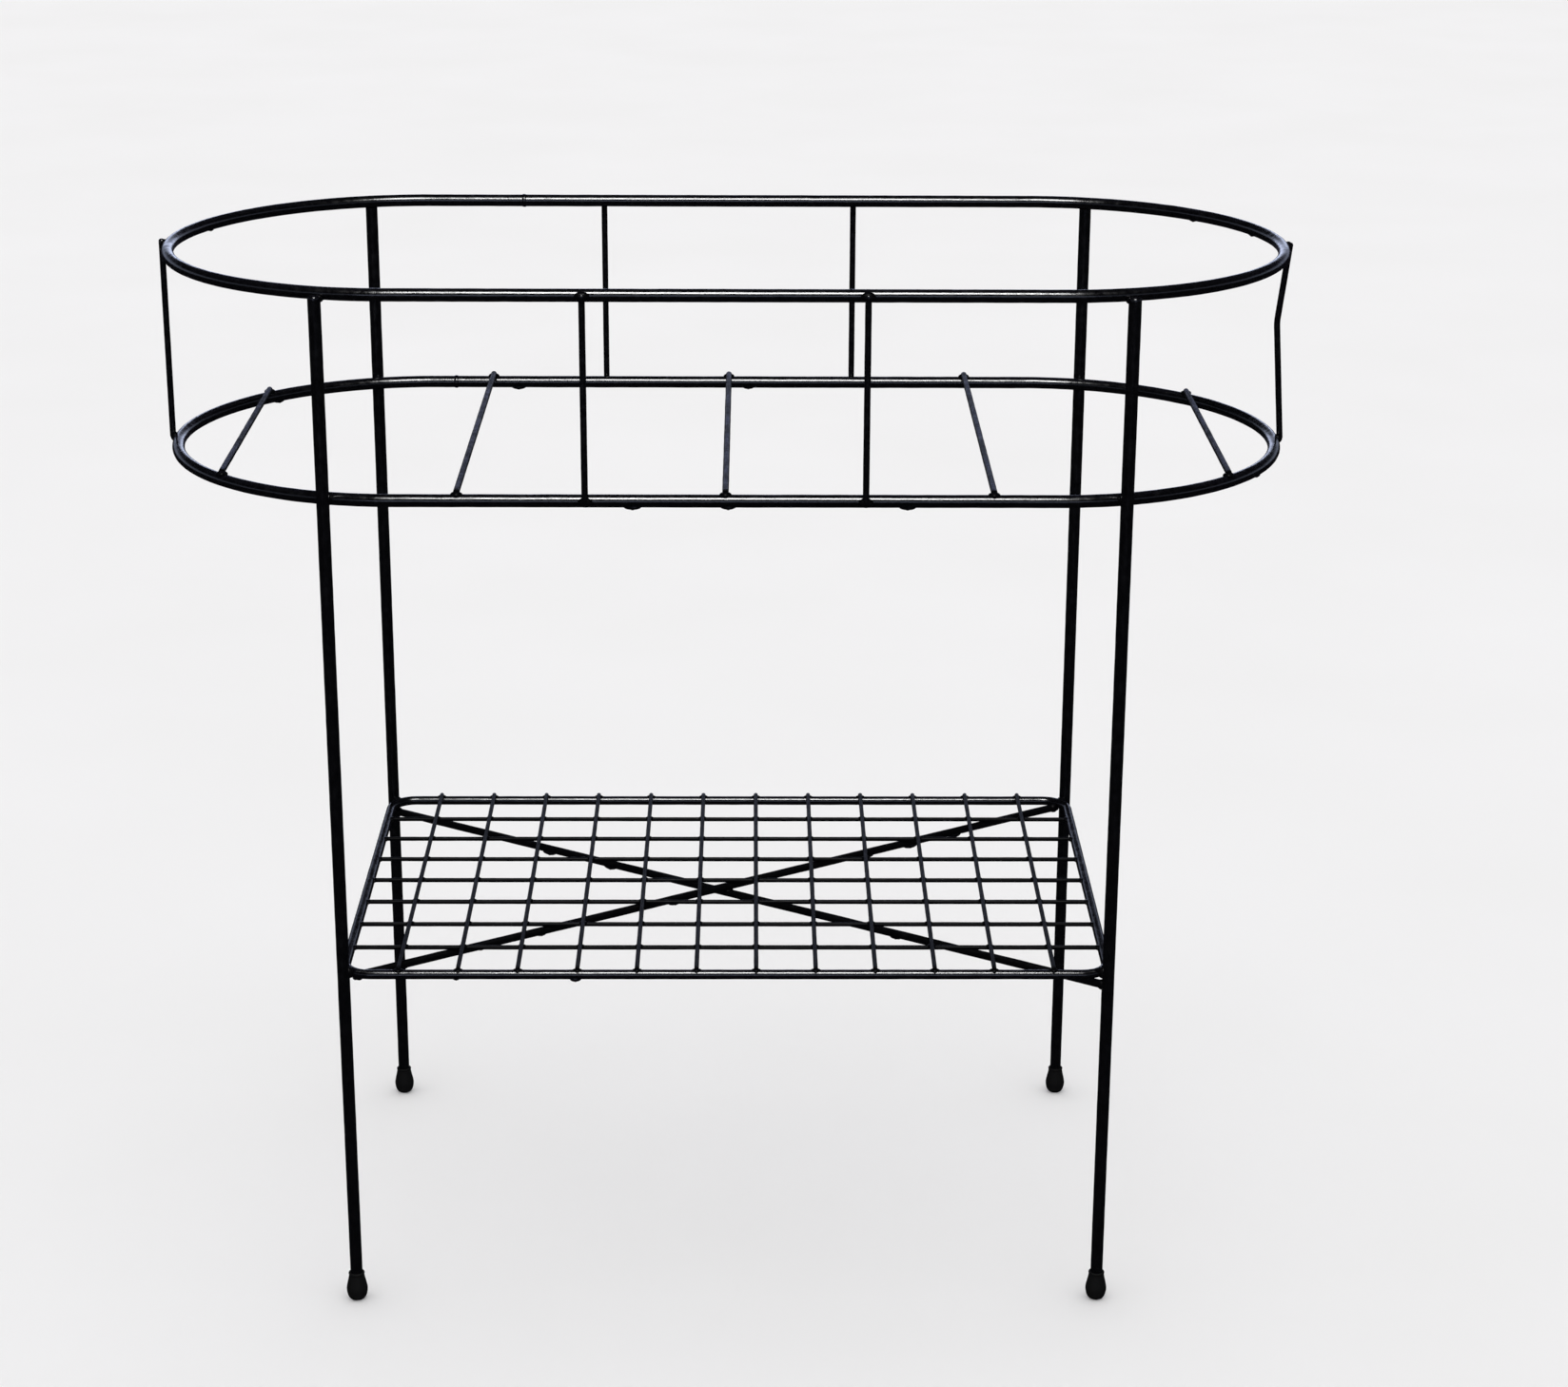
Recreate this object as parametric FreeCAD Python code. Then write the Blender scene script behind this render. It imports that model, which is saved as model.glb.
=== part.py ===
import FreeCAD, Part
import math
import os

# Plant table of welded steel rod: two rings make a tray rim, bars across the lower
# ring make its floor, four legs carry both rings and a wire-mesh shelf below them.
# Millimetres, +Z up, the length along X, the origin on the floor under the middle.

os.makedirs("parts", exist_ok=True)

# Rod stock, by diameter
RING_ROD = 9.5
LEG_ROD = 9.5
SPINDLE_ROD = 4.8
TRAY_BAR_ROD = 4.8
SHELF_RAIL_ROD = 7.5
BRACE_ROD = 6.4
MESH_WIRE = 3.6
END_ROUND_SHARE = 0.17

# Rings, measured between rod centre lines
TABLE_HEIGHT = 801.0
TRAY_DEPTH = 150.0
RING_STRAIGHT = 480.0
RING_WIDTH = 360.0

# Legs stand outside the rings, this far round each end bend
LEG_BEND_ANGLE = 15.0

# Rubber feet pushed on the legs
FOOT_HEIGHT = 23.0
FOOT_SOLE = 5.0
FOOT_TREAD = 8.4
FOOT_BULGE = 16.4
FOOT_BULGE_HEIGHT = 9.0
FOOT_LIP = 0.9
FOOT_LOWER_ROUND_SHARES = (0.72, 0.34)
FOOT_UPPER_ROUND_SHARES = (0.34, 0.54)

# Tray: upright spindles outside the rings, bars across the lower ring
SIDE_SPINDLE_PLACE_SHARE = 0.42
SIDE_SPINDLE_RISE = 2.0
END_SPINDLE_RISE = 6.5
SPINDLE_DROP = 1.0
KINK_HEIGHT_SHARE = 0.61
KINK_DEPTH = 7.0
KINK_RADIUS = 40.0
TRAY_BAR_PLACE_SHARES = (-0.88, -0.46, 0.0, 0.46, 0.88)
TRAY_BAR_OVERHANG = 1.0

# Shelf, its height at the rails' centre line
SHELF_HEIGHT = 276.0
SHELF_CORNER_RADIUS = 20.0
LONG_WIRE_COUNT = 7
LONG_WIRE_EDGE_GAP = 47.7
CROSS_WIRE_COUNT = 12
CROSS_WIRE_EDGE_GAP = 41.7
CROSS_WIRE_OVERHANG = 1.5

# Welds: how deep rods are set into each other, and how far a bead spreads
WELD_SET = 0.6
WELD_REACH = 1.9

# Worked out from the sizes above
BEND_RADIUS = RING_WIDTH / 2
BEND_CENTRE = RING_STRAIGHT / 2
RING_HALF_LENGTH = BEND_CENTRE + BEND_RADIUS
UPPER_RING_Z = TABLE_HEIGHT - RING_ROD / 2
LOWER_RING_Z = UPPER_RING_Z - TRAY_DEPTH
LEG_OFFSET = (RING_ROD + LEG_ROD) / 2 - WELD_SET
LEG_TURN = math.radians(LEG_BEND_ANGLE)
LEG_X = BEND_CENTRE + (BEND_RADIUS + LEG_OFFSET) * math.sin(LEG_TURN)
LEG_Y = (BEND_RADIUS + LEG_OFFSET) * math.cos(LEG_TURN)
SPINDLE_OFFSET = (RING_ROD + SPINDLE_ROD) / 2 - WELD_SET
SIDE_SPINDLE_X = BEND_CENTRE * SIDE_SPINDLE_PLACE_SHARE
SIDE_SPINDLE_Y = BEND_RADIUS + SPINDLE_OFFSET
END_SPINDLE_X = RING_HALF_LENGTH + SPINDLE_OFFSET
TRAY_BAR_Z = LOWER_RING_Z + (RING_ROD + TRAY_BAR_ROD) / 2 - WELD_SET

# A shelf corner meets its leg halfway round the corner's bend
DIAGONAL = math.sqrt(0.5)
LEG_TO_RAIL = (LEG_ROD + SHELF_RAIL_ROD) / 2 - WELD_SET
CORNER_TO_LEG = SHELF_CORNER_RADIUS + LEG_TO_RAIL
SHELF_HALF_LENGTH = LEG_X - CORNER_TO_LEG * DIAGONAL + SHELF_CORNER_RADIUS
SHELF_HALF_WIDTH = LEG_Y - CORNER_TO_LEG * DIAGONAL + SHELF_CORNER_RADIUS
CROSS_WIRE_Z = SHELF_HEIGHT + (SHELF_RAIL_ROD + MESH_WIRE) / 2 - WELD_SET
LONG_WIRE_Z = CROSS_WIRE_Z - MESH_WIRE

# The upper brace lies under the mesh between two shelf corners, the lower one under it between two legs
UPPER_BRACE_Z = LONG_WIRE_Z - (MESH_WIRE + BRACE_ROD) / 2
LOWER_BRACE_Z = UPPER_BRACE_Z - BRACE_ROD + WELD_SET

UP = FreeCAD.Vector(0, 0, 1)
BEAD_POLE = FreeCAD.Vector(1, 2, 3)
CORNERS = {
    "front_left": (-1, -1),
    "front_right": (1, -1),
    "back_left": (-1, 1),
    "back_right": (1, 1),
}


def point(x, y, z):
    """A point in the table's frame."""
    return FreeCAD.Vector(x, y, z)


def largest(shape):
    """The largest solid of a shape, without the scraps that a cut leaves inside another rod."""
    return max(shape.Solids, key=lambda solid: solid.Volume)


def carve(shape, neighbours):
    """A shape notched by the rods it seats against, one after the other."""
    for neighbour in neighbours:
        shape = largest(shape.cut(neighbour))
    return shape


def straight_rod(start, end, diameter):
    """A round rod between two points on its axis."""
    run = end - start
    return Part.makeCylinder(diameter / 2, run.Length, start, run)


def filed_rod(start, end, diameter):
    """A straight rod whose end rims are filed round."""
    rod = straight_rod(start, end, diameter)
    rims = [edge for edge in rod.Edges if isinstance(edge.Curve, Part.Circle)]
    return rod.makeFillet(diameter * END_ROUND_SHARE, rims)


def arc_rod(start, middle, end, diameter):
    """A round rod bent to the arc through three points on its axis."""
    arc = Part.Arc(start, middle, end).toShape()
    rim = Part.makeCircle(diameter / 2, start, arc.tangentAt(arc.FirstParameter))
    turn = math.degrees(arc.LastParameter - arc.FirstParameter)
    return Part.Face(Part.Wire([rim])).revolve(arc.Curve.Center, arc.Curve.Axis, turn)


def joined(pieces):
    """One solid from stretches of the same rod that meet end to end."""
    return pieces[0].fuse(pieces[1:]).removeSplitter().Solids[0]


def rod_loop(half_length, half_width, corner_radius, z, diameter):
    """A closed rod loop with rounded corners, its straight runs joined by the bends."""
    inner_x = half_length - corner_radius
    inner_y = half_width - corner_radius
    pieces = []
    for turn, (side_x, side_y) in enumerate([(1, 1), (-1, 1), (-1, -1), (1, -1)]):
        centre = point(side_x * inner_x, side_y * inner_y, z)
        start_angle = turn * math.pi / 2
        outward = point(math.cos(start_angle), math.sin(start_angle), 0)
        heading = UP.cross(outward)
        start = centre + outward * corner_radius
        end = centre + heading * corner_radius
        middle = centre + (outward + heading) * (corner_radius * DIAGONAL)
        pieces.append(arc_rod(start, middle, end, diameter))
        run = 2 * (inner_x if turn % 2 == 0 else inner_y)
        if run > 0:
            pieces.append(straight_rod(end, end - outward * run, diameter))
    return joined(pieces)


def ring_half_width(x):
    """Half the width between a ring's centre lines at a place along the table."""
    past_straight = max(abs(x) - BEND_CENTRE, 0)
    return math.sqrt(BEND_RADIUS ** 2 - past_straight ** 2)


def puddle(contact, rod):
    """A ball of weld metal, wider than the rod by the weld's reach all round."""
    return Part.makeSphere(rod / 2 + WELD_REACH, contact, BEAD_POLE)


def leg_line(side_x, side_y):
    """The leg's axis, from the floor of its rubber foot to the middle of the upper ring."""
    low = point(side_x * LEG_X, side_y * LEG_Y, FOOT_SOLE)
    high = point(side_x * LEG_X, side_y * LEG_Y, UPPER_RING_Z)
    return low, high


def leg(side_x, side_y):
    """A leg, notched where the rings and the shelf are welded to it."""
    low, high = leg_line(side_x, side_y)
    return carve(filed_rod(low, high, LEG_ROD), [upper_ring, lower_ring, shelf_frame])


def foot(side_x, side_y):
    """An egg-shaped rubber foot with a blind socket for the leg and a flat tread."""
    socket = LEG_ROD / 2
    collar = socket + FOOT_LIP
    tread = FOOT_TREAD / 2
    bulge = FOOT_BULGE / 2
    neck_rise = FOOT_HEIGHT - FOOT_BULGE_HEIGHT
    out_share, up_share = FOOT_LOWER_ROUND_SHARES
    in_share, rise_share = FOOT_UPPER_ROUND_SHARES
    tread_edge = point(tread, 0, 0)
    lower_round = point(tread + (bulge - tread) * out_share, 0, FOOT_BULGE_HEIGHT * up_share)
    widest = point(bulge, 0, FOOT_BULGE_HEIGHT)
    upper_round = point(bulge - (bulge - collar) * in_share, 0, FOOT_BULGE_HEIGHT + neck_rise * rise_share)
    collar_edge = point(collar, 0, FOOT_HEIGHT)
    inside = [
        collar_edge,
        point(socket, 0, FOOT_HEIGHT),
        point(socket, 0, FOOT_SOLE),
        point(0, 0, FOOT_SOLE),
        point(0, 0, 0),
        tread_edge,
    ]
    outline = [
        Part.Arc(tread_edge, lower_round, widest).toShape(),
        Part.Arc(widest, upper_round, collar_edge).toShape(),
    ]
    outline += [Part.LineSegment(a, b).toShape() for a, b in zip(inside, inside[1:])]
    rubber = Part.Face(Part.Wire(outline)).revolve(point(0, 0, 0), UP, math.degrees(2 * math.pi))
    rubber.translate(point(side_x * LEG_X, side_y * LEG_Y, 0))
    return rubber


def straight_spindle(x, y, rise):
    """An upright rod outside both rings, its top above the upper ring's middle by its rise."""
    low = point(x, y, LOWER_RING_Z - SPINDLE_DROP)
    high = point(x, y, UPPER_RING_Z + rise)
    return filed_rod(low, high, SPINDLE_ROD)


def bent_rod(start, kink, end, bend_radius, diameter):
    """Two straight runs of rod that lean towards a kink, joined by one soft bend."""
    back = (start - kink).normalize()
    ahead = (end - kink).normalize()
    half_turn = (math.pi - back.getAngle(ahead)) / 2
    trim = bend_radius * math.tan(half_turn)
    bisector = (back + ahead).normalize()
    bend_start = kink + back * trim
    bend_middle = kink + bisector * (bend_radius / math.cos(half_turn) - bend_radius)
    bend_end = kink + ahead * trim
    return joined([
        straight_rod(start, bend_start, diameter),
        arc_rod(bend_start, bend_middle, bend_end, diameter),
        straight_rod(bend_end, end, diameter),
    ])


def kinked_spindle(x):
    """The end spindle that has been knocked in towards the middle of the tray."""
    low = point(x, 0, LOWER_RING_Z - SPINDLE_DROP)
    high = point(x, 0, UPPER_RING_Z + END_SPINDLE_RISE)
    kink = point(x - KINK_DEPTH, 0, LOWER_RING_Z + TRAY_DEPTH * KINK_HEIGHT_SHARE)
    return bent_rod(low, kink, high, KINK_RADIUS, SPINDLE_ROD)


def tray_bar(x):
    """A bar that lies on the lower ring and ends just past the ring's centre line on each side."""
    reach = ring_half_width(x) + TRAY_BAR_OVERHANG
    return filed_rod(point(x, -reach, TRAY_BAR_Z), point(x, reach, TRAY_BAR_Z), TRAY_BAR_ROD)


def brace(slope, z, clear_of_leg):
    """A straight rod under the mesh, on the line between the axes of two opposite legs."""
    corner = point(LEG_X, slope * LEG_Y, 0)
    reach = corner * (1 - clear_of_leg / corner.Length)
    return straight_rod(UP * z - reach, UP * z + reach, BRACE_ROD)


def mesh_places(half_span, edge_gap, count):
    """Even places for mesh wires between two rails, the outermost an edge gap inside each rail."""
    outermost = half_span - edge_gap
    return [outermost * (2 * index / (count - 1) - 1) for index in range(count)]


def cross_wire(x):
    """A mesh wire across the shelf, welded on top of the long rails."""
    reach = SHELF_HALF_WIDTH + CROSS_WIRE_OVERHANG
    wire = straight_rod(point(x, -reach, CROSS_WIRE_Z), point(x, reach, CROSS_WIRE_Z), MESH_WIRE)
    return carve(wire, [shelf_frame])


def long_wire(y):
    """A mesh wire along the shelf, under the cross wires, its ends coped to the short rails."""
    start = point(-SHELF_HALF_LENGTH, y, LONG_WIRE_Z)
    end = point(SHELF_HALF_LENGTH, y, LONG_WIRE_Z)
    return carve(straight_rod(start, end, MESH_WIRE), [shelf_frame])


def leg_weld(side_x, side_y, ring, ring_z):
    """Weld round a leg where it touches a ring, no higher than the leg's own top."""
    reach = BEND_RADIUS + RING_ROD / 2
    x = BEND_CENTRE + reach * math.sin(LEG_TURN)
    y = reach * math.cos(LEG_TURN)
    low, high = leg_line(side_x, side_y)
    headroom = straight_rod(high, high + UP * (LEG_ROD + RING_ROD), 2 * (LEG_ROD + RING_ROD))
    spot = point(side_x * x, side_y * y, ring_z)
    return carve(puddle(spot, LEG_ROD), [straight_rod(low, high, LEG_ROD), ring, headroom])


def spindle_weld(spindle, x, y, ring, ring_z):
    """Weld round a spindle where it touches a ring."""
    return carve(puddle(point(x, y, ring_z), SPINDLE_ROD), [spindle, ring])


def tray_bar_weld(x, side):
    """Weld round a tray bar's end on top of the lower ring."""
    spot = point(x, side * ring_half_width(x), LOWER_RING_Z + RING_ROD / 2)
    return carve(puddle(spot, TRAY_BAR_ROD), [tray_bar(x), lower_ring])


def shelf_corner_welds(side_x, side_y, brace_rod, brace_z, clear_of_leg):
    """Two runs of weld: one joins a shelf corner to its leg, the other the brace's end to what it meets."""
    low, high = leg_line(side_x, side_y)
    axis = point(side_x * LEG_X, side_y * LEG_Y, 0)
    to_corner = point(-side_x, -side_y, 0) * DIAGONAL
    to_middle = (axis * -1).normalize()
    rail_spot = axis + to_corner * (LEG_ROD / 2) + UP * SHELF_HEIGHT
    brace_spot = axis + to_middle * (LEG_ROD / 2 + clear_of_leg) + UP * brace_z
    neighbours = [straight_rod(low, high, LEG_ROD), shelf_frame, brace_rod]
    rail_weld = carve(puddle(rail_spot, SHELF_RAIL_ROD), neighbours)
    brace_weld = carve(puddle(brace_spot, BRACE_ROD), neighbours + [rail_weld])
    return [rail_weld, brace_weld]


upper_ring = rod_loop(RING_HALF_LENGTH, BEND_RADIUS, BEND_RADIUS, UPPER_RING_Z, RING_ROD)
lower_ring = rod_loop(RING_HALF_LENGTH, BEND_RADIUS, BEND_RADIUS, LOWER_RING_Z, RING_ROD)
rings = [(upper_ring, UPPER_RING_Z), (lower_ring, LOWER_RING_Z)]
shelf_frame = rod_loop(
    SHELF_HALF_LENGTH, SHELF_HALF_WIDTH, SHELF_CORNER_RADIUS, SHELF_HEIGHT, SHELF_RAIL_ROD
)

nodes = {"upper_ring": upper_ring, "lower_ring": lower_ring}
for name, sides in CORNERS.items():
    nodes[name + "_leg"] = leg(*sides)
    nodes[name + "_foot"] = foot(*sides)
legs = [nodes[name + "_leg"] for name in CORNERS]

spindles = {
    name: (side_x * SIDE_SPINDLE_X, side_y * SIDE_SPINDLE_Y) for name, (side_x, side_y) in CORNERS.items()
}
spindle_welds = []
for name, (x, y) in spindles.items():
    rod = straight_spindle(x, y, SIDE_SPINDLE_RISE)
    nodes[name + "_spindle"] = carve(rod, [upper_ring, lower_ring])
    contact_y = math.copysign(BEND_RADIUS + RING_ROD / 2, y)
    spindle_welds += [spindle_weld(rod, x, contact_y, ring, z) for ring, z in rings]
end_spindles = {
    "left": (-1, straight_spindle(-END_SPINDLE_X, 0, END_SPINDLE_RISE)),
    "right": (1, kinked_spindle(END_SPINDLE_X)),
}
for name, (side, rod) in end_spindles.items():
    nodes[name + "_end_spindle"] = carve(rod, [upper_ring, lower_ring])
    contact_x = side * (RING_HALF_LENGTH + RING_ROD / 2)
    spindle_welds += [spindle_weld(rod, contact_x, 0, ring, z) for ring, z in rings]

tray_bar_places = [RING_HALF_LENGTH * share for share in TRAY_BAR_PLACE_SHARES]
for number, x in enumerate(tray_bar_places, start=1):
    nodes[f"tray_bar_{number}"] = carve(tray_bar(x), [lower_ring])

lower_brace_rod = brace(-1, LOWER_BRACE_Z, 0)
upper_brace_rod = brace(1, UPPER_BRACE_Z, LEG_TO_RAIL)
long_wire_places = mesh_places(SHELF_HALF_WIDTH, LONG_WIRE_EDGE_GAP, LONG_WIRE_COUNT)
cross_wire_places = mesh_places(SHELF_HALF_LENGTH, CROSS_WIRE_EDGE_GAP, CROSS_WIRE_COUNT)
long_wires = [long_wire(y) for y in long_wire_places]
nodes["shelf_frame"] = shelf_frame
nodes["shelf_lower_brace"] = carve(lower_brace_rod, legs)
nodes["shelf_upper_brace"] = carve(upper_brace_rod, [shelf_frame, lower_brace_rod])
for number, wire in enumerate(long_wires, start=1):
    nodes[f"shelf_long_wire_{number}"] = wire
for number, x in enumerate(cross_wire_places, start=1):
    nodes[f"shelf_cross_wire_{number}"] = cross_wire(x)

leg_welds = [leg_weld(*sides, ring, z) for sides in CORNERS.values() for ring, z in rings]
tray_bar_welds = [tray_bar_weld(x, side) for x in tray_bar_places for side in (-1, 1)]
shelf_welds = []
for side_x, side_y in CORNERS.values():
    if side_x == side_y:
        shelf_welds += shelf_corner_welds(side_x, side_y, upper_brace_rod, UPPER_BRACE_Z, LEG_TO_RAIL)
    else:
        shelf_welds += shelf_corner_welds(side_x, side_y, lower_brace_rod, LOWER_BRACE_Z, 0)
crossing = point(0, 0, UPPER_BRACE_Z - BRACE_ROD / 2)
shelf_welds.append(carve(puddle(crossing, BRACE_ROD), [lower_brace_rod, upper_brace_rod]))
nodes["leg_welds"] = Part.makeCompound(leg_welds)
nodes["spindle_welds"] = Part.makeCompound(spindle_welds)
nodes["tray_bar_welds"] = Part.makeCompound(tray_bar_welds)
nodes["shelf_welds"] = Part.makeCompound(shelf_welds)

for name, shape in nodes.items():
    shape.exportStep(f"parts/{name}.step")
    volumes = [round(solid.Volume, 1) for solid in shape.Solids]
    print(name, volumes, "mm3", "valid" if shape.isValid() else "NOT VALID")
print(len(nodes), "nodes")
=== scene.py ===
"""Looks of a plant table of welded rod under brushed black enamel.

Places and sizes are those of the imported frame. One Geometry Nodes tree sweeps each rod along its path and lays the
uneven enamel on it, a second one sets the weld beads, paint runs and webs, and the rubber feet are turned from a
profile. Sizes are in millimetres until a mesh is written.
"""
import logging
import math
from dataclasses import dataclass
from enum import Enum
from typing import Any

import bpy
from bpy.types import ID, Material, Mesh, Node, NodeSocket, NodeTree, Object
from mathutils import Matrix, Vector


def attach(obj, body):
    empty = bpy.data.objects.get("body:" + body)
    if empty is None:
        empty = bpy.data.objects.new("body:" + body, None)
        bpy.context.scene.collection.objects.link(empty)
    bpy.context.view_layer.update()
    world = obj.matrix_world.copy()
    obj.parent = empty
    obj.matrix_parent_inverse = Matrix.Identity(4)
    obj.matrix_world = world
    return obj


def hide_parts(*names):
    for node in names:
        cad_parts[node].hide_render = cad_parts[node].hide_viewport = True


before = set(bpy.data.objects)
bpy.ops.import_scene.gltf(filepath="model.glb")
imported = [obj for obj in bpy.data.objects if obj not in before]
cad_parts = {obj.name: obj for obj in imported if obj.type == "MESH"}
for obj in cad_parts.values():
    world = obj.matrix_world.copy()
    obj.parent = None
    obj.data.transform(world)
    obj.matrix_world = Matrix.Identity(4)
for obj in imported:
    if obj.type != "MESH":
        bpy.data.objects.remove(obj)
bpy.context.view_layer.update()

MM = 0.001
BODY = "root"
LOG = logging.getLogger("plant_table")
# How deep a rod is set into the one that carries it.
SET_IN = 0.6
RIM_TURNS = tuple(math.radians(a) for a in (0, 30, 60, 90))
LEAST_ARC_STEPS = 4
Pair = tuple[float, float]
Triple = tuple[float, float, float]
Row = tuple[float, ...]
Inputs = dict[Any, Any]


class Slot(Enum):
    """The record's material slots."""

    ENAMEL = "black_enamel"
    RUBBER = "rubber_foot"


class Corner(Enum):
    """The table's corners, as the signs of X and Y."""

    front_left = (-1, -1)
    front_right = (1, -1)
    back_left = (-1, 1)
    back_right = (1, 1)


def linear(hex_colour: str) -> tuple[float, float, float, float]:
    """Turn an sRGB hex colour into linear light.

    Args:
        hex_colour: A colour such as "#1a1b1c".

    Returns:
        Red, green, blue and full alpha.
    """
    parts = [int(hex_colour[i:i + 2], 16) / 255 for i in (1, 3, 5)]
    light = [c / 12.92 if c <= 0.04045 else ((c + 0.055) / 1.055) ** 2.4 for c in parts]
    return light[0], light[1], light[2], 1.0


def add_node(tree: NodeTree, kind: str, inputs: Inputs | None = None, **settings: Any) -> Node:
    """Add a node with its settings and links.

    Args:
        tree: The tree that gets the node.
        kind: The node's type name.
        inputs: For each input socket a plain value, an output or another node, which gives its first output.
        settings: Values for the node's own properties.

    Returns:
        The new node.
    """
    node = tree.nodes.new(kind)
    for key, value in settings.items():
        setattr(node, key, value)
    for key, value in (inputs or {}).items():
        source = value.outputs[0] if isinstance(value, Node) else value
        if isinstance(source, NodeSocket):
            tree.links.new(source, node.inputs[key])
        else:
            node.inputs[key].default_value = source
    return node


def new_object(name: str, data: ID) -> Object:
    """Make an object of a mesh, light or camera and put it into the scene, at the origin."""
    bpy.context.scene.collection.objects.link(made := bpy.data.objects.new(name, data))
    return made


def new_material(name: str) -> tuple[Material, NodeTree, NodeSocket]:
    """Start a material that has nothing but the piece's own coordinates.

    Args:
        name: What the material is.

    Returns:
        The material, its node tree and the Object coordinates.
    """
    material = bpy.data.materials.new(name)
    material.use_nodes = True
    tree = material.node_tree
    tree.nodes.clear()
    return material, tree, add_node(tree, "ShaderNodeTexCoord").outputs["Object"]


def close_material(
    tree: NodeTree, base: str, layers: list[tuple[Node, str]], bumps: list[tuple[Node, Pair]], inputs: Inputs
) -> None:
    """Lay colours over each other, raise bumps and end a material with its surface shader.

    Args:
        tree: The material's node tree.
        base: The lowest colour.
        layers: Where each further colour lies, and the colour.
        bumps: Each bump's height, and its strength and its depth in millimetres.
        inputs: What else the shader gets.
    """
    colour: Any = linear(base)
    for share, layer in layers:
        mix = add_node(tree, "ShaderNodeMix", {0: share, 6: colour, 7: linear(layer)}, data_type="RGBA")
        colour = mix.outputs[2]
    relief: Inputs = {}
    for height, (strength, depth) in bumps:
        relief |= {"Height": height, "Strength": strength, "Distance": depth * MM}
        relief = {"Normal": add_node(tree, "ShaderNodeBump", relief)}
    shader = add_node(tree, "ShaderNodeBsdfPrincipled", {"Base Color": colour} | relief | inputs)
    add_node(tree, "ShaderNodeOutputMaterial", {"Surface": shader})


@dataclass(frozen=True)
class BrushedEnamel:
    """Black alkyd enamel brushed over steel rod.

    It gives the eye a deep black gloss with a soft brush ripple, fine orange peel and a little dust on top, which is
    partly a painted bluish sheen that stands in for the sky's reflection on the tops.
    """

    name: str = "black_brushed_enamel"
    coat: str = "#020203"
    thin: str = "#08080a"
    # Dust on the tops, partly a painted bluish sheen that stands in for the sky's reflection.
    dust: str = "#5c5c74"
    dust_and_sheen_share: float = 0.06
    dust_and_sheen_tilt: Pair = (0.55, 1.0)
    speckle_band: Pair = (0.36, 0.64)
    drift_mm: float = 38.0
    drift_band: Pair = (0.36, 0.62)
    drift_least: float = 0.1
    ripple_mm: float = 5.0
    ripple_band: Pair = (0.3, 0.7)
    # Real orange peel is finer than this and would not show, so it is drawn coarser.
    peel_mm: float = 1.1
    octaves: Triple = (3.0, 2.0, 1.0)
    ripple_bump: Pair = (0.25, 0.25)
    peel_bump: Pair = (0.5, 0.08)
    gloss: Pair = (0.1, 0.26)
    ior: float = 1.5
    shine: float = 0.5

    def material(self) -> Material:
        """Build the enamel: thick and thin paint, dust with a painted sheen that drifts where the rod faces up,
        ripple and peel.

        Returns:
            The material.
        """
        material, tree, place = new_material(self.name)
        ripple, peel, drift = (
            add_node(tree, "ShaderNodeTexNoise", {"Vector": place, "Scale": 1 / (size * MM), "Detail": detail})
            for size, detail in zip((self.ripple_mm, self.peel_mm, self.drift_mm), self.octaves)
        )
        facing = add_node(tree, "ShaderNodeNewGeometry").outputs["Normal"]
        up = add_node(tree, "ShaderNodeSeparateXYZ", {0: facing}).outputs["Z"]
        # A range's inputs are its value, the band that it comes from and the one that it goes to.
        upward_dust_and_sheen, speckle, gathered, gloss = (
            add_node(tree, "ShaderNodeMapRange", dict(enumerate((value, *source, *target))))
            for value, source, target in (
                (up, self.dust_and_sheen_tilt, (0.0, self.dust_and_sheen_share)),
                (peel, self.speckle_band, (0.0, 1.0)),
                (drift, self.drift_band, (self.drift_least, 1.0)),
                (ripple, self.ripple_band, self.gloss),
            )
        )
        # The up-facing tops get dust and a painted sheen of reflected sky, in drifting speckled patches.
        dust_and_sheen_patch = upward_dust_and_sheen
        for share in (gathered, speckle):
            dust_and_sheen_patch = add_node(tree, "ShaderNodeMath", {0: dust_and_sheen_patch, 1: share}, operation="MULTIPLY")
        layers = [(ripple, self.thin), (dust_and_sheen_patch, self.dust)]
        bumps = [(ripple, self.ripple_bump), (peel, self.peel_bump)]
        shine = {"Roughness": gloss, "IOR": self.ior, "Specular IOR Level": self.shine}
        close_material(tree, self.coat, layers, bumps, shine)
        return material


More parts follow.
